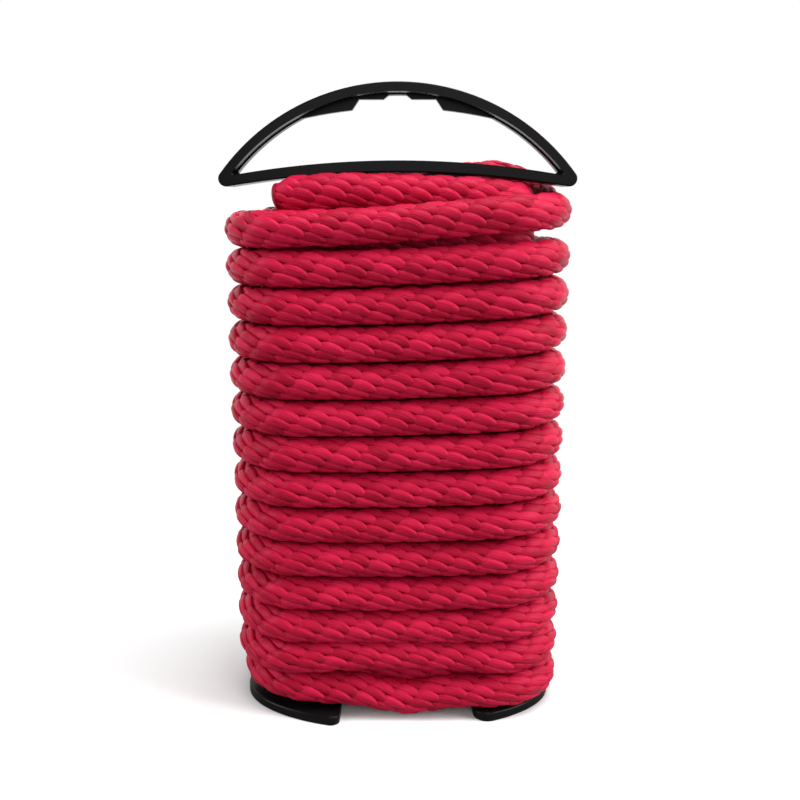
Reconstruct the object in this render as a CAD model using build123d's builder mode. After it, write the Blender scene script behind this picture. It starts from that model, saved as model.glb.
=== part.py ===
from build123d import *
import os
from math import cos, pi, sin

# Coiled dock line: a solid-braid line laid in two layers on a flat winder.
# Millimetres, +Z up. The origin is the centre of the base flange on its underside,
# X runs along the wide side of the coil, and the coil's front faces -Y.

# ---- driving dimensions: the line ----
line_diameter = 12.0        # nominal half-inch line, settled under its own turns
turn_pitch = 12.535         # height from one outer turn to the next, at the left end
outer_turns = 14
inner_turns = 12            # full turns hidden below the first and second turn
lay_clearance = 0.15        # gap left between the layers, and above the flange
straight_run = 33.0         # half length of the flat run on each face of the plate
inner_top = 169.6           # height of the second turn, just below the first
inner_bottom = 19.5         # height of the last inner turn, before it drops to the flange
line_start = 0.032          # the cut end, in turns from the left end of the coil
change_length = 0.198       # turns taken to step out to the outer layer
seal_length = 1.8           # melted length at each cut end

# ---- driving dimensions: how the outer turns lie ----
front_tilt = 0.29           # each turn rises this much more across the front than the last
top_tilt = 6.2              # the top turn rises this much across the front
largest_sag = 1.0           # sag of a turn in the middle of its flat runs
sag_per_turn = 0.3          # the lower turns sag less
notch_dip = 2.4             # the bottom turn sinks this far into the notch of the flange
climb_lead = 1.06           # above 1, a turn reaches the next level before the left end

# ---- driving dimensions: the hand hoop ----
hoop_top = 220.0
hoop_radius = 75.0
hoop_depth = 15.0
hoop_band = 3.1             # thickness of the bow at its top
opening_radius = 72.2
opening_corner = 0.6
tip_radius = 2.6            # rounded tips where the bow meets the bar
edge_round = 0.5
parting_rib = 0.5           # low rib round the inside of the opening
parting_rib_width = 1.6
bar_bottom = 191.0          # hand bar, at the middle of its arched underside
bar_top = 194.6
bar_arch_bottom = 353.0     # radii of the two arched faces of the bar
bar_arch_top = 330.0
bar_clearance = 0.7         # between the bar and the first turn

# ---- driving dimensions: the hanging web in the bow ----
web_thickness = 2.6
web_bottom = 212.2          # at the middle of its arched lower edge
web_arch = 150.0
hook_seat = 214.9           # step that rests on a hook
hook_seat_half = 12.9
hook_mouth = 211.4          # height where the sides of the step meet the web's lower edge
hook_mouth_half = 15.3      # the sides of the step lean outwards
nail_notch_top = 216.4
nail_notch_half = 2.8
nail_mouth_half = 4.7

# ---- driving dimensions: the spine plate ----
plate_thickness = 4.0
plate_clearance = 0.35      # between the plate and the inner layer
plate_top = 188.4
window_heights = (40, 75, 110, 145)
window_length = 34.0
window_width = 16.0
tongue_top = 192.4
tongue_foot = 2.6           # length of a tongue inside the flange
tongue_width = 16.0
tongue_spacing = 36.0
tongue_fit = 0.05

# ---- driving dimensions: the base flange ----
flange_thickness = 3.2
flange_half_width = 56.6
flange_half_depth = 32.0
flange_edge = 0.8
notch_left = 20.6           # edges of the notch, from the middle
notch_right = 28.4
notch_flare = 3.5           # the right edge leans out this far
notch_reach = 12.0          # the notch comes to this distance from the middle
left_lobe_corner = 3.0
right_lobe_corner = 5.0

# ---- driving dimensions: the free end of the line ----
tail_height = 189.0
tail_end_x = -22.0
hinge_x = 20.0              # where the free end starts to swing
hinge_gap = 7.0             # the standing part stops this far before the hinge
rise_length = 0.15          # turns taken to climb to the height of the tail

# ---- worked out from the above ----
line_radius = line_diameter / 2
inner_bend = plate_thickness / 2 + line_radius + plate_clearance
outer_bend = inner_bend + line_diameter + lay_clearance
rest_height = flange_thickness + line_radius + lay_clearance
first_height = bar_bottom - line_radius - bar_clearance
inner_pitch = (inner_top - inner_bottom) / inner_turns
layer_change = inner_turns + 2      # turns laid when the outer layer begins
top_turn = outer_turns - 1          # full outer turns below the top one
opening_centre = hoop_top - hoop_band - opening_radius
flange_socket = flange_thickness - tongue_foot

sections_per_turn = 52
small_step = 1e-4                   # in turns, for the direction of the line
facing_front = Plane.XZ

os.makedirs("parts", exist_ok=True)


# ---- path of the line ----
def smooth(s):
    """Rise from 0 to 1 with level ends."""
    s = min(max(s, 0.0), 1.0)
    return s * s * (3 - 2 * s)


def lap_length(bend):
    return 4 * straight_run + 2 * pi * bend


def plan_point(fraction, bend):
    """A point of the lap: flat front and back runs joined by half circles.
    The lap starts at the left end and passes the front first."""
    quarter = pi * bend / 2
    along = fraction * lap_length(bend)
    if along < quarter:
        angle = pi + along / bend
        return -straight_run + bend * cos(angle), bend * sin(angle)
    along -= quarter
    if along < 2 * straight_run:
        return -straight_run + along, -bend
    along -= 2 * straight_run
    if along < 2 * quarter:
        angle = -pi / 2 + along / bend
        return straight_run + bend * cos(angle), bend * sin(angle)
    along -= 2 * quarter
    if along < 2 * straight_run:
        return straight_run - along, bend
    angle = pi / 2 + (along - 2 * straight_run) / bend
    return -straight_run + bend * cos(angle), bend * sin(angle)


def first_height_at(turns, x):
    """The first turn follows the underside of the hand bar, then drops at the back."""
    if turns < 0.5:
        return first_height - x * x / (2 * bar_arch_bottom)
    right_end = first_height - (straight_run + inner_bend) ** 2 / (2 * bar_arch_bottom)
    return right_end - (right_end - inner_top) * smooth(2 * turns - 1)


def inner_height_at(turns):
    """Inner layer: level across the front, one pitch down across the back.
    Its last turn drops to the flange."""
    lap = int(turns)
    height = inner_top - inner_pitch * (lap - 1)
    if lap == layer_change - 1:
        return height - (height - rest_height) * smooth(4 * (turns - lap) - 2)
    return height - inner_pitch * smooth(2 * (turns - lap) - 1)


def outer_height_at(turns, x):
    """Outer layer: nearly level across the front, climbing across the back.
    The bottom turn dips into the notch of the flange, and the top one climbs to the tail."""
    lap = int(turns)
    fraction = turns - lap
    height = rest_height + turn_pitch * lap
    tilt = top_tilt if lap == top_turn else front_tilt * lap
    if turns > top_turn + 0.5:
        climb = smooth((turns - top_turn - 0.5) / rise_length)
        return height + tilt + (tail_height - height - tilt) * climb
    across_front = tilt * smooth(2 * fraction)
    across_back = (turn_pitch - tilt) * smooth(climb_lead * (2 * fraction - 1))
    sag = min(sag_per_turn * lap, largest_sag) * sin(2 * pi * fraction) ** 2
    if lap == 0 and fraction < 0.5 and abs(x) < notch_left:
        sag = notch_dip / 2 * (1 + cos(pi * x / notch_left))
    return height + across_front + across_back - sag


def line_point(turns):
    """Centre of the line after so many turns, counted from its start under the bar."""
    outward = smooth(1 + (turns - layer_change) / change_length)
    bend = inner_bend + (outer_bend - inner_bend) * outward
    x, y = plan_point(turns % 1, bend)
    straight_start = pi * bend / 2 / lap_length(bend)
    if turns < straight_start:
        x = -straight_run - (straight_start - turns) * lap_length(bend)
        y = -bend
    if turns < 1:
        z = first_height_at(turns, x)
    elif turns < layer_change:
        z = inner_height_at(turns)
    else:
        z = outer_height_at(turns - layer_change, x)
    return Vector(x, y, z)


def line_plane(turns):
    """Plane square to the line."""
    ahead = line_point(turns + small_step) - line_point(turns - small_step)
    return Plane(origin=line_point(turns), x_dir=(0, 0, 1), z_dir=ahead.normalized())


# ---- pieces that are made more than once ----
def laid_line(start, end, label, first_steps=(0, 0.25, 0.5)):
    """A length of the line between two counts of turns. Where it is cut in mid-bend, its
    sections stand closer."""
    steps = max(8, round(sections_per_turn * (end - start)))
    last_steps = (steps - 0.5, steps - 0.25, steps)
    with BuildPart() as laid:
        for step in (*first_steps, *range(1, steps), *last_steps):
            with BuildSketch(line_plane(start + (end - start) * step / steps)):
                Circle(line_radius)
        loft()
    laid.part.label = label
    export_step(laid.part, f"parts/{label}.step")


def melted_end(plane, label):
    """Domed, melted cap on a cut end. The plane's Z points out of the line."""
    with BuildPart() as cap:
        with BuildSketch(plane):
            Circle(line_radius)
        extrude(amount=seal_length)
        fillet(cap.faces().sort_by(Axis(plane.origin, plane.z_dir))[-1].edges(), seal_length * 0.8)
    cap.part.label = label
    export_step(cap.part, f"parts/{label}.step")


def crescent(plane, inset):
    """Outline of the opening under the bow, made smaller all round by the inset."""
    with BuildSketch(plane) as opening:
        with Locations((0, opening_centre)):
            Circle(opening_radius - inset)
        with Locations((0, bar_top - bar_arch_top)):
            Circle(bar_arch_top + inset, mode=Mode.SUBTRACT)
        fillet(opening.vertices(), opening_corner)
    return opening.sketch


# ---- hand hoop: bow, hand bar and hanging web, one moulding ----
with BuildPart() as handle:
    with BuildSketch(facing_front) as outline:
        with Locations((0, hoop_top - hoop_radius)):
            Circle(hoop_radius)
        with Locations((0, bar_bottom - bar_arch_bottom)):
            Circle(bar_arch_bottom, mode=Mode.SUBTRACT)
        fillet(outline.vertices(), tip_radius)
    extrude(amount=hoop_depth / 2, both=True)
    fillet(handle.edges().filter_by(GeomType.LINE, reverse=True), edge_round)

    extrude(crescent(facing_front, parting_rib), amount=hoop_depth, both=True, mode=Mode.SUBTRACT)
    beside_rib = (hoop_depth - parting_rib_width) / 4
    for side in (-1, 1):
        plane = facing_front.offset(side * (parting_rib_width / 2 + beside_rib))
        extrude(crescent(plane, 0), amount=beside_rib, both=True, mode=Mode.SUBTRACT)

    with BuildSketch(facing_front):
        with Locations((0, opening_centre)):
            Circle(opening_radius + edge_round)
        with Locations((0, web_bottom - web_arch)):
            Circle(web_arch, mode=Mode.SUBTRACT)
        with BuildLine():
            Polyline(
                (-hook_mouth_half, hook_mouth), (-hook_seat_half, hook_seat),
                (-nail_mouth_half, hook_seat), (-nail_notch_half, nail_notch_top),
                (nail_notch_half, nail_notch_top), (nail_mouth_half, hook_seat),
                (hook_seat_half, hook_seat), (hook_mouth_half, hook_mouth), close=True,
            )
        make_face(mode=Mode.SUBTRACT)
    extrude(amount=web_thickness / 2, both=True)

    for side in (-1, 1):
        with BuildSketch(Plane.XY.offset(plate_top)):
            with Locations((side * tongue_spacing / 2, 0)):
                Rectangle(tongue_width + 2 * tongue_fit, plate_thickness + 2 * tongue_fit)
        extrude(amount=tongue_top - plate_top + tongue_fit, mode=Mode.SUBTRACT)
handle.part.label = "handle"
export_step(handle.part, "parts/handle.step")

# ---- spine plate: the flat core that the line is wound on ----
with BuildPart() as spine:
    with BuildSketch(Plane.XY.offset(flange_thickness)):
        SlotOverall(2 * straight_run + plate_thickness, plate_thickness)
    extrude(amount=plate_top - flange_thickness)
    with BuildSketch(facing_front):
        for height in window_heights:
            with Locations((0, height)):
                SlotOverall(window_length, window_width)
    extrude(amount=plate_thickness, both=True, mode=Mode.SUBTRACT)
    for side in (-1, 1):
        with BuildSketch(Plane.XY.offset(flange_socket)):
            with Locations((side * tongue_spacing / 2, 0)):
                Rectangle(tongue_width, plate_thickness)
        extrude(amount=tongue_top - flange_socket)
spine.part.label = "spine_plate"
export_step(spine.part, "parts/spine_plate.step")

# ---- base flange: an oval with a notch at the front and one at the back ----
with BuildPart() as flange:
    with BuildSketch() as oval:
        Ellipse(flange_half_width, flange_half_depth)
        notch_foot = notch_right - notch_flare / 2
        for side in (-1, 1):
            with BuildLine():
                Polyline(
                    (-notch_left, side * notch_reach), (notch_foot, side * notch_reach),
                    (notch_foot + notch_flare, side * 2 * flange_half_depth),
                    (-notch_left, side * 2 * flange_half_depth), close=True,
                )
            make_face(mode=Mode.SUBTRACT)
        for right_side, radius in ((True, right_lobe_corner), (False, left_lobe_corner)):
            lobes = oval.vertices().filter_by(lambda v: (v.X > 0) == right_side)
            fillet(lobes.filter_by(lambda v: 2 * abs(v.Y) > flange_half_depth), radius)
    extrude(amount=flange_thickness)
    fillet(flange.faces().sort_by(Axis.Z)[-1].outer_wire().edges(), flange_edge)
    for side in (-1, 1):
        with BuildSketch(Plane.XY.offset(flange_socket - tongue_fit)):
            with Locations((side * tongue_spacing / 2, 0)):
                Rectangle(tongue_width + 2 * tongue_fit, plate_thickness + 2 * tongue_fit)
        extrude(amount=flange_thickness, mode=Mode.SUBTRACT)
flange.part.label = "base_flange"
export_step(flange.part, "parts/base_flange.step")

# ---- the line: one length, cut at the left end of the coil into turns ----
laid_line(line_start, 1, "first_turn", first_steps=(0,))
laid_line(1, 2, "second_turn")
for turn in range(inner_turns):
    laid_line(2 + turn, 3 + turn, f"inner_turn_{turn + 1:02d}")
for turn in range(top_turn):
    laid_line(layer_change + turn, layer_change + turn + 1, f"outer_turn_{turn + 1:02d}")
right_end = layer_change + top_turn + 0.5
laid_line(right_end - 0.5, right_end, f"outer_turn_{outer_turns:02d}")

bend_and_lead = pi * outer_bend / 2 + straight_run - hinge_x - hinge_gap
laid_line(right_end, right_end + bend_and_lead / lap_length(outer_bend), "rising_run")

start_plane = line_plane(line_start)
melted_end(Plane(origin=start_plane.origin, z_dir=-start_plane.z_dir), "start_seal")

# ---- free end: swings about an upright axis at its root ----
with BuildPart() as free_end:
    with Locations((hinge_x, outer_bend, tail_height)):
        Sphere(line_radius)
    with BuildSketch(Plane(origin=(hinge_x, outer_bend, tail_height), z_dir=(-1, 0, 0))):
        Circle(line_radius)
    extrude(amount=hinge_x - tail_end_x - seal_length)
free_end.part.label = "free_end"
export_step(free_end.part, "parts/free_end.step")

tail_plane = Plane(origin=(tail_end_x + seal_length, outer_bend, tail_height), z_dir=(-1, 0, 0))
melted_end(tail_plane, "free_end_seal")
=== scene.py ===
import math

import bpy
import numpy as np
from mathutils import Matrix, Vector


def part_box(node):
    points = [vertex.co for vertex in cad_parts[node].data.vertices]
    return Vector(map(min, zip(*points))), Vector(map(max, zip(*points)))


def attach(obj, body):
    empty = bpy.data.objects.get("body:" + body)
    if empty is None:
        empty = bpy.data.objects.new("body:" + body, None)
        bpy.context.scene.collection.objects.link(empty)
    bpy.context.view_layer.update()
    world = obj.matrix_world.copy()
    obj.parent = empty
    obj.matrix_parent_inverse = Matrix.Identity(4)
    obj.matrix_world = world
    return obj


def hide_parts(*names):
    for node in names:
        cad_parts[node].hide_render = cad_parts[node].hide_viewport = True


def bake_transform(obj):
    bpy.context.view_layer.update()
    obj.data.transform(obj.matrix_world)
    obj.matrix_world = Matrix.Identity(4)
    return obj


# Coiled dock line. The winder's mouldings keep their CAD shapes and get their plastic here.
# The line is rebuilt as a solid braid. Every stitch of yarn is a closed form of its own, and the
# stitches of a turn share one mesh. The path is that of the CAD turns, moved by up to 6.4 mm at
# its start, at the upper left ends, at the bottom and where it climbs behind the hand bar, to
# look like soft line. Metres, the same frame as the CAD.

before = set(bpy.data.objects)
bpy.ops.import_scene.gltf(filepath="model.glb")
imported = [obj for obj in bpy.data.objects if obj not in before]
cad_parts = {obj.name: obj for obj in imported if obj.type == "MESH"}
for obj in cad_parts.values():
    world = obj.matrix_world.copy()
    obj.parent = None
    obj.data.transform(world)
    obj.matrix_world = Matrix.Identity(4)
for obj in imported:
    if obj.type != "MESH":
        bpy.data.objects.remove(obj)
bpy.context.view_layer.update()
MM = 0.001

# ---- the line's path, from the frame ----
OUTER_TURNS = 14
INNER_TURNS = 12
LAYER_CHANGE = INNER_TURNS + 2
mid_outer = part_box("outer_turn_07")
mid_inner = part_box("inner_turn_06")
tail_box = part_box("free_end")
LINE_RADIUS = (tail_box[1][2] - tail_box[0][2]) / 2
OUTER_BEND = (mid_outer[1][1] - mid_outer[0][1]) / 2 - LINE_RADIUS
INNER_BEND = (mid_inner[1][1] - mid_inner[0][1]) / 2 - LINE_RADIUS
STRAIGHT_RUN = (mid_outer[1][0] - mid_outer[0][0]) / 2 - LINE_RADIUS - OUTER_BEND
FLANGE_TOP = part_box("base_flange")[1][2]
REST_GAP = 0.15 * MM
REST_HEIGHT = FLANGE_TOP + LINE_RADIUS + REST_GAP
TURN_PITCH = 12.535 * MM
FIRST_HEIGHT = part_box("first_turn")[1][2] - LINE_RADIUS
TAIL_HEIGHT = (tail_box[1][2] + tail_box[0][2]) / 2
TAIL_END = tail_box[0][0]
SEAL_LENGTH = TAIL_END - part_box("free_end_seal")[0][0]
INNER_TOP = 169.6 * MM
INNER_BOTTOM = 19.5 * MM
INNER_PITCH = (INNER_TOP - INNER_BOTTOM) / INNER_TURNS
CHANGE_LENGTH = 0.198           # turns taken to step from the inner layer to the outer one
CLIMB_LEAD = 1.06               # a turn is done with its climb a little before its end
LINE_START = 0.032              # the cut end, in turns
BAR_ARCH = 353 * MM             # radius of the hand bar's underside, which the first turn follows
TURN_TILT = 0.29 * MM           # each outer turn rises this much more along its front
TOP_TILT = 6.2 * MM             # and the top one this much
SAG = 1.0 * MM                  # outer turns hang in the middle of their straight runs,
SAG_GROWTH = 0.3                # reaching the full sag over the lowest turns
NOTCH = 20.6 * MM               # the bottom turn dips into the flange's front notch
NOTCH_MIDDLE = 3.9 * MM
NOTCH_DIP = 1.2 * MM
LEFT_LIFT = 4.5 * MM            # the upper inner turns are squeezed up and out at the left end
LEFT_PUSH = 2.6 * MM
LEFT_SPREAD = 2.5 * MM
SPREAD_FROM = 30 * MM
SPREAD_RAMP = 10 * MM
MOST_LIFTED = 2                 # squeezed most where this turn starts,
LIFTED_TURNS = 8                # and a quarter as much at the last of this many turns
SQUEEZE_BEFORE = 0.18           # turns before and after each left end that it takes hold in
SQUEEZE_AFTER = 0.34
TUCK_IN = 2.0 * MM              # the bottom turn starts inwards and high at the left end
TUCK_LIFT = 3.0 * MM
TUCK_BEFORE = 0.12
TUCK_AFTER = 0.25
START_LIFT = 1.2 * MM           # the first turn's left part is pressed up and forward
START_PUSH = 1.0 * MM
START_FROM = 10 * MM
START_RAMP = 40 * MM
GAP_PUSH = 5.0 * MM             # the last inner turn bulges forward and down above the notch
GAP_DROP = 4.0 * MM
GAP_LEFT = 36 * MM
GAP_LEFT_RAMP = 24 * MM
GAP_RIGHT = 42 * MM
GAP_RIGHT_RAMP = 18 * MM
GAP_RAISE = 2.2 * MM            # and the second outer turn rides up on it
RAISE_REACH = 30 * MM
RAISE_PLATEAU = 1.4
RISE_LENGTH = 0.11              # turns taken to climb to the height of the tail
RISE_HUMP = 0.8 * MM            # with a hump near the end of the climb
HUMP_PLACE = 1.1
HUMP_WIDTH = 0.3


def smooth(s):
    s = np.clip(s, 0.0, 1.0)
    return s * s * (3 - 2 * s)


def plan_point(fraction, bend):
    """Point of a lap: flat runs joined by half circles, from the left end, front first."""
    lap = 4 * STRAIGHT_RUN + 2 * math.pi * bend
    quarter = math.pi * bend / 2
    along = fraction * lap
    left_front = np.pi + along / bend
    right = -np.pi / 2 + (along - quarter - 2 * STRAIGHT_RUN) / bend
    left_back = np.pi / 2 + (along - 3 * quarter - 4 * STRAIGHT_RUN) / bend
    bounds = [quarter, quarter + 2 * STRAIGHT_RUN, 3 * quarter + 2 * STRAIGHT_RUN,
              3 * quarter + 4 * STRAIGHT_RUN]
    parts = [along < bounds[0], along < bounds[1], along < bounds[2], along < bounds[3]]
    x = np.select(parts, [
        -STRAIGHT_RUN + bend * np.cos(left_front),
        -STRAIGHT_RUN + along - quarter,
        STRAIGHT_RUN + bend * np.cos(right),
        STRAIGHT_RUN - (along - 3 * quarter - 2 * STRAIGHT_RUN),
    ], -STRAIGHT_RUN + bend * np.cos(left_back))
    y = np.select(parts, [
        bend * np.sin(left_front), -bend, bend * np.sin(right), bend,
    ], bend * np.sin(left_back))
    return x, y


def line_path(turns):
    """Centre of the line, one row per count of turns from the cut end under the bar."""
    outward = smooth(1 + (turns - LAYER_CHANGE) / CHANGE_LENGTH)
    laid = turns - LAYER_CHANGE
    tucked = np.where(laid < 0, smooth(1 + laid / TUCK_BEFORE), smooth(1 - laid / TUCK_AFTER))
    bend = INNER_BEND + (OUTER_BEND - INNER_BEND) * outward - TUCK_IN * tucked
    lap = np.floor(turns)
    fraction = turns - lap
    x, y = plan_point(fraction, bend)

    lap_inner = 4 * STRAIGHT_RUN + 2 * math.pi * INNER_BEND
    run_start = math.pi * INNER_BEND / 2 / lap_inner
    stub = turns < run_start
    x = np.where(stub, -STRAIGHT_RUN - (run_start - turns) * lap_inner, x)
    y = np.where(stub, -INNER_BEND, y)

    under_bar = FIRST_HEIGHT - x * x / (2 * BAR_ARCH)
    right_end = FIRST_HEIGHT - (STRAIGHT_RUN + INNER_BEND) ** 2 / (2 * BAR_ARCH)
    falling = right_end - (right_end - INNER_TOP) * smooth(2 * turns - 1)
    first = np.where(turns < 0.5, under_bar, falling)

    level = INNER_TOP - INNER_PITCH * (lap - 1)
    inner = level - INNER_PITCH * smooth(2 * fraction - 1)
    last = level - (level - REST_HEIGHT) * smooth(4 * fraction - 2)
    inner = np.where(lap == LAYER_CHANGE - 1, last, inner)

    up = lap - LAYER_CHANGE
    tilt = np.where(up == OUTER_TURNS - 1, TOP_TILT, TURN_TILT * up)
    climb = tilt * smooth(2 * fraction)
    climb = climb + (TURN_PITCH - tilt) * smooth(CLIMB_LEAD * (2 * fraction - 1))
    sag = np.minimum(SAG_GROWTH * up, 1.0) * SAG * np.sin(2 * np.pi * fraction) ** 2
    outer = REST_HEIGHT + TURN_PITCH * up + climb - sag
    dip = NOTCH_DIP * (1 + np.cos(np.pi * (x - NOTCH_MIDDLE) / NOTCH))
    in_notch = (up == 0) & (fraction < 0.5) & (np.abs(x - NOTCH_MIDDLE) < NOTCH)
    outer = outer - np.where(in_notch, dip, 0)
    above_gap = (up == 1) & (fraction < 0.5)
    raised = GAP_RAISE * smooth(RAISE_PLATEAU - np.abs(x) / RAISE_REACH)
    outer = outer + np.where(above_gap, raised, 0)
    top_level = REST_HEIGHT + TURN_PITCH * up + tilt
    risen = (turns - LAYER_CHANGE - OUTER_TURNS + 0.5) / RISE_LENGTH
    hump = RISE_HUMP * np.exp(-((risen - HUMP_PLACE) / HUMP_WIDTH) ** 2)
    rising = top_level + (TAIL_HEIGHT - top_level) * smooth(risen) + hump
    outer = np.where(turns > LAYER_CHANGE + OUTER_TURNS - 0.5, rising, outer)

    in_gap = (lap == LAYER_CHANGE - 1) & (fraction < 0.5)
    from_left = smooth((x + GAP_LEFT) / GAP_LEFT_RAMP)
    from_right = smooth((GAP_RIGHT - x) / GAP_RIGHT_RAMP)
    bulge = np.where(in_gap, from_left * from_right, 0)
    y = y - GAP_PUSH * bulge
    left_end = np.clip(np.round(turns), 1, LIFTED_TURNS)
    past = turns - left_end
    squeezed = np.where(past < 0, smooth(1 + past / SQUEEZE_BEFORE),
                        1 - smooth(past / SQUEEZE_AFTER))
    squeezed = squeezed * (1 - np.abs(left_end - MOST_LIFTED) / LIFTED_TURNS)
    y = y - LEFT_PUSH * squeezed * np.clip(-y / INNER_BEND, 0, 1)
    x = x - LEFT_SPREAD * squeezed * smooth((-x - SPREAD_FROM) / SPREAD_RAMP)
    pressed = np.where(turns < 0.5, smooth((START_FROM - x) / START_RAMP), 0)
    y = y - START_PUSH * pressed
    z = np.select([turns < 1, turns < LAYER_CHANGE], [first, inner], outer)
    z = z + LEFT_LIFT * squeezed + START_LIFT * pressed + TUCK_LIFT * tucked - GAP_DROP * bulge
    return np.stack([x, y, z], axis=1)


END_PINCH = 0.30                # the braid is drawn in where it was cut and melted
PINCH_LENGTH = 5 * MM


class Line:
    """The whole line, sampled closely, with its length and the frame across it."""

    def __init__(self, samples_per_turn=720):
        end = LAYER_CHANGE + OUTER_TURNS
        count = int((end - LINE_START) * samples_per_turn)
        self.turns = np.linspace(LINE_START, end, count)
        points = line_path(self.turns)
        tail = (points[:, 0] < TAIL_END) & (self.turns > end - 0.4)
        last = np.argmax(tail) if tail.any() else count
        self.turns, points = self.turns[:last], points[:last]
        steps = np.linalg.norm(np.diff(points, axis=0), axis=1)
        self.length = np.concatenate([[0], np.cumsum(steps)])
        along = np.gradient(points, axis=0)
        along /= np.linalg.norm(along, axis=1)[:, None]
        out = np.cross(along, [0, 0, 1])
        out /= np.linalg.norm(out, axis=1)[:, None]
        self.points, self.out, self.up = points, out, np.cross(out, along)

    def at_turn(self, turns):
        return float(np.interp(turns, self.turns, self.length))

    def place(self, along, angle, radius):
        """Points at a length along the line, an angle round it and a radius."""
        flat = along.ravel()
        to_end = np.minimum(along, self.length[-1] - along)
        radius = radius * (1 - END_PINCH * (1 - smooth(to_end / PINCH_LENGTH)))

        def read(rows):
            return np.stack([np.interp(flat, self.length, rows[:, i]) for i in range(3)], 1)

        cos = (radius * np.cos(angle)).ravel()[:, None]
        sin = (radius * np.sin(angle)).ravel()[:, None]
        return read(self.points) + read(self.out) * cos + read(self.up) * sin


line = Line()

# ---- solid braid ----
ROWS = 12                       # stitches round the line
STITCH_REPEAT = 9.65 * MM       # along the line, in one row
STITCH_LENGTH = 14.5 * MM
STITCH_HALF_WIDTH = 2.45 * MM
STITCH_DROP = 3.8 * MM          # the head ends this far below the tail
STITCH_ARCH = 1.4 * MM          # the middle bows up by this much
PROUD_TAIL = 0.12               # how much its upper edge stands out and its lower edge
PROUD_HEAD = 0.40               # tucks in, at the tail and at the head
PROUD_FROM = 0.45               # shares of a stitch's length, here and below, from its tail
PROUD_OVER = 0.4
BEND_POWER = 2.4                # how late the head bends down
TAIL_WIDTH = 0.30               # of the full half width
WIDEN_FROM = 0.14
WIDEN_OVER = 0.36
HEAD_FROM = 0.62                # where the head starts to close
HEAD_OVER = 0.38
HEAD_ROUNDNESS = 0.7
LEAST_WIDTH = 0.005
RISE_FROM = 0.21                # where the stitch comes up out of the braid
RISE_OVER = 0.34
HEAD_FALL = 0.7                 # share of the rise that the head loses again
TAIL_CREST = 0.1 * MM
DOME_POWER = 0.6                # roundness of the outside of a stitch, across its width
DOME_INSIDE = 0.35              # and depth of its hidden side
CORE_RADIUS = 4.7 * MM
BASE_RADIUS = 4.6 * MM
CREST_RADIUS = 6.25 * MM
CORE_STEP = 2.5 * MM
CORE_RING = 16
CAP_RING = 28
CAP_RINGS = 9
STATIONS = np.array([0.0, 0.1, 0.18, 0.26, 0.34, 0.43, 0.53, 0.63, 0.72, 0.8, 0.87, 0.92, 0.96,
                     0.985, 0.998])
RING = 14                       # points round a stitch
ROW_SHIFT = STITCH_REPEAT / 4   # from one row to the next
FIRST_ROW = math.radians(16)
PLACE_SPREAD = 0.16 * MM        # small differences from stitch to stitch
ANGLE_SPREAD = 0.018
SIZE_SPREAD = 0.012
GRAIN_SPREAD = 7


def stitch_profile():
    """Half width and crest of a stitch at each station, from its tucked tail to its head."""
    s = STATIONS
    head = np.clip((s - HEAD_FROM) / HEAD_OVER, 0, 1)
    width = TAIL_WIDTH + (1 - TAIL_WIDTH) * smooth((s - WIDEN_FROM) / WIDEN_OVER)
    width = width * np.clip(1 - head ** 2.0, LEAST_WIDTH, 1) ** HEAD_ROUNDNESS
    rise = smooth((s - RISE_FROM) / RISE_OVER)
    fall = 1 - HEAD_FALL * head ** 3
    crest = BASE_RADIUS + TAIL_CREST + (CREST_RADIUS - BASE_RADIUS - TAIL_CREST) * rise * fall
    return width * STITCH_HALF_WIDTH, crest


def stitch_centre(s):
    """Height of a stitch's middle line above its row: bowed, with the head bent down."""
    drop = STITCH_DROP * np.abs(s) ** BEND_POWER
    return STITCH_ARCH * np.sin(np.pi * s) - drop + STITCH_DROP / 4


def tube_faces(stations, ring, flipped=False):
    """Faces of a closed tube of rings of points, as loops of vertex numbers and their sizes."""
    faces = []
    for i in range(stations - 1):
        for j in range(ring):
            k = (j + 1) % ring
            faces.append([i * ring + j, i * ring + k, (i + 1) * ring + k, (i + 1) * ring + j])
    faces.append(list(range(ring))[::-1])
    faces.append([(stations - 1) * ring + j for j in range(ring)])
    if flipped:
        faces = [face[::-1] for face in faces]
    return np.array([v for face in faces for v in face]), np.array([len(face) for face in faces])


def new_mesh(name, points, loops, sizes, material, uv=None, tone=None):
    mesh = bpy.data.meshes.new(name)
    mesh.vertices.add(len(points))
    mesh.vertices.foreach_set("co", points.ravel())
    mesh.loops.add(len(loops))
    mesh.loops.foreach_set("vertex_index", loops)
    mesh.polygons.add(len(sizes))
    mesh.polygons.foreach_set("loop_start", np.concatenate([[0], np.cumsum(sizes)[:-1]]))
    mesh.polygons.foreach_set("use_smooth", np.ones(len(sizes), dtype=bool))
    mesh.update(calc_edges=True)
    if uv is not None:
        layer = mesh.uv_layers.new(name="yarn")
        layer.data.foreach_set("uv", uv[loops].ravel())
    if tone is not None:
        attribute = mesh.attributes.new("tone", "FLOAT", "POINT")
        attribute.data.foreach_set("value", tone)
    mesh.validate()
    mesh.materials.append(material)
    thing = bpy.data.objects.new(name, mesh)
    bpy.context.scene.collection.objects.link(thing)
    return thing


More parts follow.
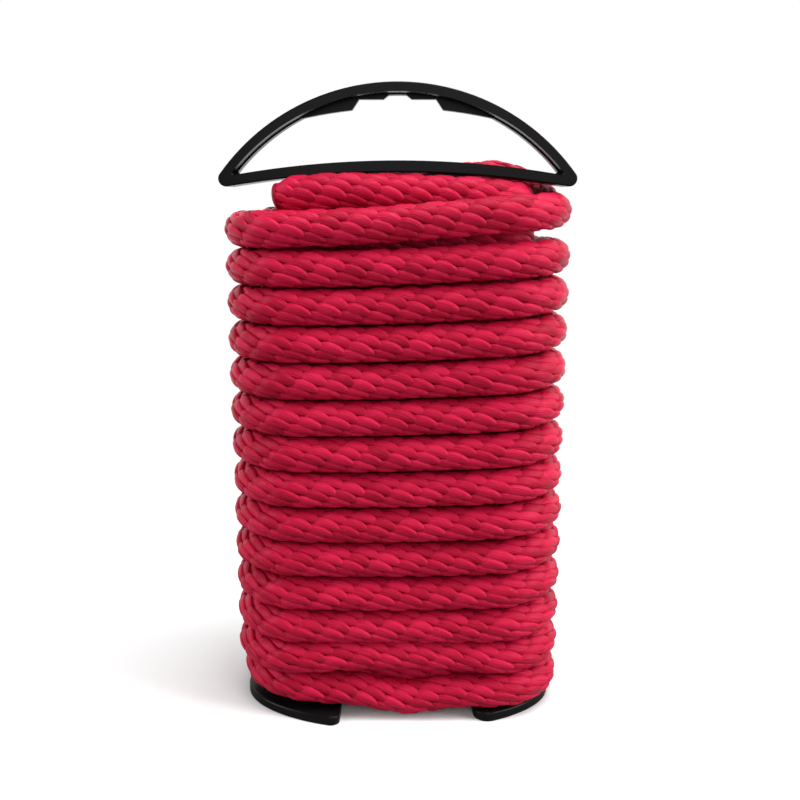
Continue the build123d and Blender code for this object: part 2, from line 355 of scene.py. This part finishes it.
def braid(name, start_turn, end_turn, material, seed):
    """The stitches whose middles lie between two counts of turns, as one mesh. At a cut end of
    the line each row has one stitch more, so that the braid reaches the end."""
    random = np.random.RandomState(seed)
    begin, end = line.at_turn(start_turn), line.at_turn(end_turn)
    middles, angles = [], []
    for row in range(ROWS):
        shift = -row * ROW_SHIFT
        first = math.ceil((begin - shift) / STITCH_REPEAT) - (start_turn == LINE_START)
        final = math.ceil((end - shift) / STITCH_REPEAT) + (end_turn == line.turns[-1])
        for n in range(first, final):
            middles.append(n * STITCH_REPEAT + shift)
            angles.append(FIRST_ROW - row * 2 * math.pi / ROWS)
    middles = np.array(middles)
    angles = np.array(angles)
    count = len(middles)
    middles = middles + random.normal(0, PLACE_SPREAD, count)
    angles = angles + random.normal(0, ANGLE_SPREAD, count)
    half_width, crest = stitch_profile()
    swell = 1 + random.normal(0, SIZE_SPREAD, count)
    turn = 2 * np.pi * np.arange(RING) / RING
    lateral = np.cos(turn)[None, None, :] * half_width[None, :, None] * np.ones((count, 1, 1))
    dome = np.where(np.sin(turn) > 0, np.abs(np.sin(turn)) ** DOME_POWER,
                    DOME_INSIDE * np.sin(turn))
    proud = smooth((STATIONS - PROUD_FROM) / PROUD_OVER)
    proud = (PROUD_TAIL + (PROUD_HEAD - PROUD_TAIL) * proud)[:, None]
    dome = dome[None, :] * (1 + proud * np.cos(turn)[None, :]) / (1 + proud / 2)
    height = ((crest - BASE_RADIUS)[:, None] * dome)[None]
    radius = (BASE_RADIUS + height) * swell[:, None, None]
    climb = (stitch_centre(STATIONS + 0.01) - stitch_centre(STATIONS - 0.01)) / 0.02
    slope = np.arctan2(climb, STITCH_LENGTH)[None, :, None]
    reach = (STATIONS - 0.5)[None, :, None]
    along = middles[:, None, None] + reach * STITCH_LENGTH - lateral * np.sin(slope)
    across = stitch_centre(STATIONS)[None, :, None] + lateral * np.cos(slope)
    angle = angles[:, None, None] + across / CREST_RADIUS
    along = np.clip(along + 0 * radius, line.length[0], line.length[-1])
    points = line.place(along, angle, radius)
    loops, sizes = tube_faces(len(STATIONS), RING)
    per_stitch = len(STATIONS) * RING
    offsets = (np.arange(count) * per_stitch)[:, None]
    u = np.broadcast_to(STATIONS[None, :, None], along.shape)
    u = u + random.rand(count)[:, None, None] * GRAIN_SPREAD
    v = np.broadcast_to((np.arange(RING) / RING)[None, None, :], along.shape)
    uv = np.stack([u.ravel(), v.ravel()], axis=1)
    tone = np.repeat(random.rand(count), per_stitch)
    return new_mesh(name, points, (loops[None, :] + offsets).ravel(), np.tile(sizes, count),
                    material, uv, tone)


def core(name, start_turn, end_turn, material):
    """The inside of the braid, dark with painted shade for the gaps: a plain closed tube below the
    stitches.
    """
    begin, end = line.at_turn(start_turn), line.at_turn(end_turn)
    stations = max(8, int((end - begin) / CORE_STEP)) + 1
    along = np.repeat(np.linspace(begin, end, stations)[:, None], CORE_RING, axis=1)
    angle = np.broadcast_to(2 * np.pi * np.arange(CORE_RING) / CORE_RING, along.shape)
    points = line.place(along, angle, np.full(along.shape, CORE_RADIUS))
    return new_mesh(name, points, *tube_faces(stations, CORE_RING), material)


def melted_cap(name, at_end, material):
    """Domed, slightly lumpy cap on one cut end of the line."""
    lift = np.linspace(0, np.pi / 2, CAP_RINGS)
    angle = 2 * np.pi * np.arange(CAP_RING) / CAP_RING
    place = line.length[-1] if at_end else line.length[0]
    along, radius = [], []
    for tilt in lift:
        lump = 1 + 0.03 * np.sin(3 * angle + 2 * tilt) + 0.02 * np.sin(7 * angle)
        along.append(np.full(CAP_RING, place))
        radius.append(CREST_RADIUS * max(np.cos(tilt), 0.02) * lump)
    points = line.place(np.array(along), np.tile(angle, (CAP_RINGS, 1)), np.array(radius))
    edge = line.points[-1 if at_end else 0]
    inner = line.points[-2 if at_end else 1]
    ahead = (edge - inner) / np.linalg.norm(edge - inner)
    points = points + np.repeat(np.sin(lift), CAP_RING)[:, None] * ahead * SEAL_LENGTH
    faces = tube_faces(CAP_RINGS, CAP_RING, flipped=not at_end)
    return new_mesh(name, points, *faces, material)


# ---- materials ----
RED_TINT = (1.0, 0.5, 0.62, 1)


def node_material(name):
    material = bpy.data.materials.new(name)
    material.use_nodes = True
    tree = material.node_tree
    shader = tree.nodes["Principled BSDF"]
    return material, tree, shader


def add(tree, kind, **settings):
    node = tree.nodes.new(kind)
    for key, value in settings.items():
        setattr(node, key, value)
    return node


def ramp(tree, source, stops):
    node = add(tree, "ShaderNodeValToRGB")
    while len(node.color_ramp.elements) < len(stops):
        node.color_ramp.elements.new(0.5)
    for element, (place, colour) in zip(node.color_ramp.elements, stops):
        element.position = place
        element.color = (*colour, 1)
    tree.links.new(source, node.inputs["Fac"])
    return node.outputs["Color"]


def noise(tree, scale, detail=2.0, vector=None):
    node = add(tree, "ShaderNodeTexNoise")
    node.inputs["Scale"].default_value = scale
    node.inputs["Detail"].default_value = detail
    if vector is not None:
        tree.links.new(vector, node.inputs["Vector"])
    return node.outputs["Fac"]


def surface(tree, shader, colour, specular, roughness=None, tint=None):
    tree.links.new(colour, shader.inputs["Base Color"])
    shader.inputs["Specular IOR Level"].default_value = specular
    if roughness is not None:
        shader.inputs["Roughness"].default_value = roughness
    if tint is not None:
        shader.inputs["Specular Tint"].default_value = tint


def bump(tree, shader, height, strength, distance):
    node = add(tree, "ShaderNodeBump")
    node.inputs["Strength"].default_value = strength
    node.inputs["Distance"].default_value = distance
    tree.links.new(height, node.inputs["Height"])
    tree.links.new(node.outputs["Normal"], shader.inputs["Normal"])


def yarn_material():
    """Satin multifilament yarn: fine filaments along the stitch, each stitch its own tone."""
    material, tree, shader = node_material("crimson_yarn")
    uv = add(tree, "ShaderNodeUVMap", uv_map="yarn")
    stretch = add(tree, "ShaderNodeMapping")
    stretch.inputs["Scale"].default_value = (1.6, 34, 1)
    tree.links.new(uv.outputs["UV"], stretch.inputs["Vector"])
    filaments = noise(tree, 1.0, 4.0, stretch.outputs["Vector"])
    tone = add(tree, "ShaderNodeAttribute", attribute_name="tone")
    mix = add(tree, "ShaderNodeMath", operation="MULTIPLY_ADD")
    tree.links.new(tone.outputs["Fac"], mix.inputs[0])
    mix.inputs[1].default_value = 0.35
    tree.links.new(filaments, mix.inputs[2])
    colour = ramp(tree, mix.outputs[0], [
        (0.35, (0.27, 0.0022, 0.017)), (0.6, (0.42, 0.0046, 0.032)), (0.85, (0.56, 0.010, 0.053)),
    ])
    surface(tree, shader, colour, specular=0.2, roughness=0.38, tint=RED_TINT)
    bump(tree, shader, filaments, 0.8, 0.35 * MM)
    return material


def painted_shade_core_material():
    """Yarn seen only through the gaps between the stitches, coloured dark as painted shade for
    those gaps.
    """
    material, tree, shader = node_material("shaded_yarn")
    # painted shade: the crimson yarn darkened to stand for the shade between the stitches
    colour = ramp(tree, noise(tree, 900), [
        (0.3, (0.07, 0.001, 0.006)), (0.7, (0.14, 0.003, 0.013)),
    ])
    surface(tree, shader, colour, specular=0.05, roughness=0.9)
    return material


def melted_material():
    """Yarn melted into one lump at a cut end."""
    material, tree, shader = node_material("melted_yarn")
    lumps = noise(tree, 700, 5)
    colour = ramp(tree, lumps, [(0.3, (0.22, 0.002, 0.014)), (0.7, (0.36, 0.004, 0.026))])
    surface(tree, shader, colour, specular=0.25, roughness=0.45, tint=RED_TINT)
    bump(tree, shader, lumps, 0.5, 0.3 * MM)
    return material


def plastic_material():
    """Black moulding with a fine satin grain and a slightly uneven gloss."""
    material, tree, shader = node_material("black_moulding")
    place = add(tree, "ShaderNodeTexCoord").outputs["Object"]
    grain = noise(tree, 2600, 2, place)
    clouds = noise(tree, 60, 5, place)
    colour = ramp(tree, clouds, [
        (0.3, (0.0035, 0.0035, 0.0037)), (0.7, (0.0060, 0.0058, 0.0060)),
    ])
    surface(tree, shader, colour, specular=0.12)
    rough = add(tree, "ShaderNodeMapRange")
    rough.inputs["To Min"].default_value = 0.22
    rough.inputs["To Max"].default_value = 0.34
    tree.links.new(clouds, rough.inputs["Value"])
    tree.links.new(rough.outputs["Result"], shader.inputs["Roughness"])
    bump(tree, shader, grain, 0.12, 0.05 * MM)
    return material


yarn = yarn_material()
# the core's material, dark with painted shade for the gaps between the stitches
dark = painted_shade_core_material()
melted = melted_material()
plastic = plastic_material()

# ---- the winder keeps its CAD meshes ----
for node in ("handle", "spine_plate", "base_flange"):
    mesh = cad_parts[node].data
    mesh.materials.clear()
    mesh.materials.append(plastic)


# ---- the line ----
def lay(node, start_turn, end_turn, seed):
    """Stitches and core for one CAD turn of the coil."""
    stitches = braid(f"{node}_braid", start_turn, end_turn, yarn, seed)
    inside = core(f"{node}_core", start_turn, end_turn, dark)
    for piece in (stitches, inside):
        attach(piece, "coil")
    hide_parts(node)


lay("first_turn", LINE_START, 1, 11)
lay("second_turn", 1, 2, 12)
for turn in range(INNER_TURNS):
    lay(f"inner_turn_{turn + 1:02d}", 2 + turn, 3 + turn, 20 + turn)
for turn in range(OUTER_TURNS - 1):
    start = LAYER_CHANGE + turn
    lay(f"outer_turn_{turn + 1:02d}", start, start + 1, 40 + turn)
top_turn = LAYER_CHANGE + OUTER_TURNS - 1
lay(f"outer_turn_{OUTER_TURNS:02d}", top_turn, top_turn + 0.5, 60)

tail_finish = line.turns[-1]
tail_braid = braid("loose_end_braid", top_turn + 0.5, tail_finish, yarn, 61)
tail_core = core("loose_end_core", top_turn + 0.5, tail_finish, dark)
for piece in (tail_braid, tail_core):
    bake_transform(piece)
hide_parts("rising_run", "free_end")

for node, at_end, body in (("start_seal", False, "coil"), ("free_end_seal", True, "loose_end")):
    cap = melted_cap(f"{node}_cap", at_end, melted)
    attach(cap, body)
    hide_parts(node)


# ---- floor, light and camera ----
ROOM_LIGHT = 0.27               # of the white world, next to 1.0 where the camera sees it
FRONT_GLOSS = 0.06              # what reflections see in front of the object and behind it
BACK_GLOSS = 1.1
FLOOR_HALF = 6.0
FLOOR_DROP = 0.2 * MM           # just below the flange
FLOOR_FADE = (0.12, 0.42)       # the floor fades into the white between these distances
AIM = (0, 0, 0.11)


def area_light(name, place, size, power):
    data = bpy.data.lights.new(name, "AREA")
    data.shape = "RECTANGLE"
    data.size, data.size_y = size
    data.energy = power
    light = bpy.data.objects.new(name, data)
    light.location = place
    light.rotation_euler = (Vector(AIM) - Vector(place)).to_track_quat("-Z", "Y").to_euler()
    bpy.context.scene.collection.objects.link(light)


def studio_world():
    """White behind the object, and a dimmer white light from all round. Mirror-like reflections
    see a bright backdrop behind the object and a dark room in front of it."""
    world = bpy.data.worlds.new("studio")
    world.use_nodes = True
    tree = world.node_tree
    background = tree.nodes["Background"]
    background.inputs["Color"].default_value = (1, 1, 1, 1)
    path = add(tree, "ShaderNodeLightPath")
    strength = add(tree, "ShaderNodeMapRange")
    strength.inputs["To Min"].default_value = ROOM_LIGHT
    strength.inputs["To Max"].default_value = 1.0
    tree.links.new(path.outputs["Is Camera Ray"], strength.inputs["Value"])
    direction = add(tree, "ShaderNodeSeparateXYZ")
    tree.links.new(add(tree, "ShaderNodeTexCoord").outputs["Generated"], direction.inputs["Vector"])
    backdrop = add(tree, "ShaderNodeMapRange", interpolation_type="SMOOTHSTEP")
    backdrop.inputs["From Min"].default_value = -0.1
    backdrop.inputs["From Max"].default_value = 0.7
    backdrop.inputs["To Min"].default_value = FRONT_GLOSS
    backdrop.inputs["To Max"].default_value = BACK_GLOSS
    tree.links.new(direction.outputs["Y"], backdrop.inputs["Value"])
    seen = add(tree, "ShaderNodeMix", data_type="FLOAT")
    tree.links.new(path.outputs["Is Glossy Ray"], seen.inputs["Factor"])
    tree.links.new(strength.outputs["Result"], seen.inputs["A"])
    tree.links.new(backdrop.outputs["Result"], seen.inputs["B"])
    tree.links.new(seen.outputs["Result"], background.inputs["Strength"])
    bpy.context.scene.world = world


def studio():
    """Pale floor, the world and four soft lights."""
    mesh = bpy.data.meshes.new("floor")
    corners = [(-1, -1), (1, -1), (1, 1), (-1, 1)]
    mesh.from_pydata([(x * FLOOR_HALF, y * FLOOR_HALF, 0) for x, y in corners], [], [(0, 1, 2, 3)])
    floor = bpy.data.objects.new("floor", mesh)
    bpy.context.scene.collection.objects.link(floor)
    material, tree, shader = node_material("pale_floor")
    shader.inputs["Roughness"].default_value = 0.9
    shader.inputs["Specular IOR Level"].default_value = 0.1
    link = tree.links.new
    path = add(tree, "ShaderNodeLightPath")
    pale = ramp(tree, path.outputs["Is Camera Ray"], [
        (0, (0.3, 0.3, 0.3)), (1, (0.93, 0.93, 0.93)),
    ])
    link(pale, shader.inputs["Base Color"])
    place = add(tree, "ShaderNodeNewGeometry")
    away = add(tree, "ShaderNodeVectorMath", operation="LENGTH")
    link(place.outputs["Position"], away.inputs[0])
    fade = add(tree, "ShaderNodeMapRange", interpolation_type="SMOOTHSTEP")
    fade.inputs["From Min"].default_value = FLOOR_FADE[0]
    fade.inputs["From Max"].default_value = FLOOR_FADE[1]
    link(away.outputs["Value"], fade.inputs["Value"])
    clear = add(tree, "ShaderNodeBsdfTransparent")
    mix = add(tree, "ShaderNodeMixShader")
    link(fade.outputs["Result"], mix.inputs["Fac"])
    link(shader.outputs["BSDF"], mix.inputs[1])
    link(clear.outputs["BSDF"], mix.inputs[2])
    link(mix.outputs["Shader"], tree.nodes["Material Output"].inputs["Surface"])
    mesh.materials.append(material)
    floor.location.z = -FLOOR_DROP
    studio_world()
    area_light("right_box", (0.8, -0.25, 0.45), (0.4, 0.8), 9)
    area_light("left_box", (-0.85, -0.25, 0.4), (0.4, 0.8), 5)
    area_light("top_box", (0.15, -0.1, 1.0), (0.6, 0.5), 8)
    area_light("front_fill", (0.1, -1.1, 0.5), (0.8, 0.8), 3)
    bpy.context.scene.view_settings.view_transform = "Standard"


def camera():
    """Stands in front, just below the height of the hand bar, and looks down 12 degrees."""
    data = bpy.data.cameras.new("camera")
    data.sensor_width = 36
    data.lens = 42.4
    data.clip_start = 0.01
    view = bpy.data.objects.new("camera", data)
    view.location = (2.8 * MM, -331 * MM, 182 * MM)
    view.rotation_euler = (math.radians(90 - 12), 0, math.radians(0.35))
    bpy.context.scene.collection.objects.link(view)
    bpy.context.scene.camera = view


studio()
camera()
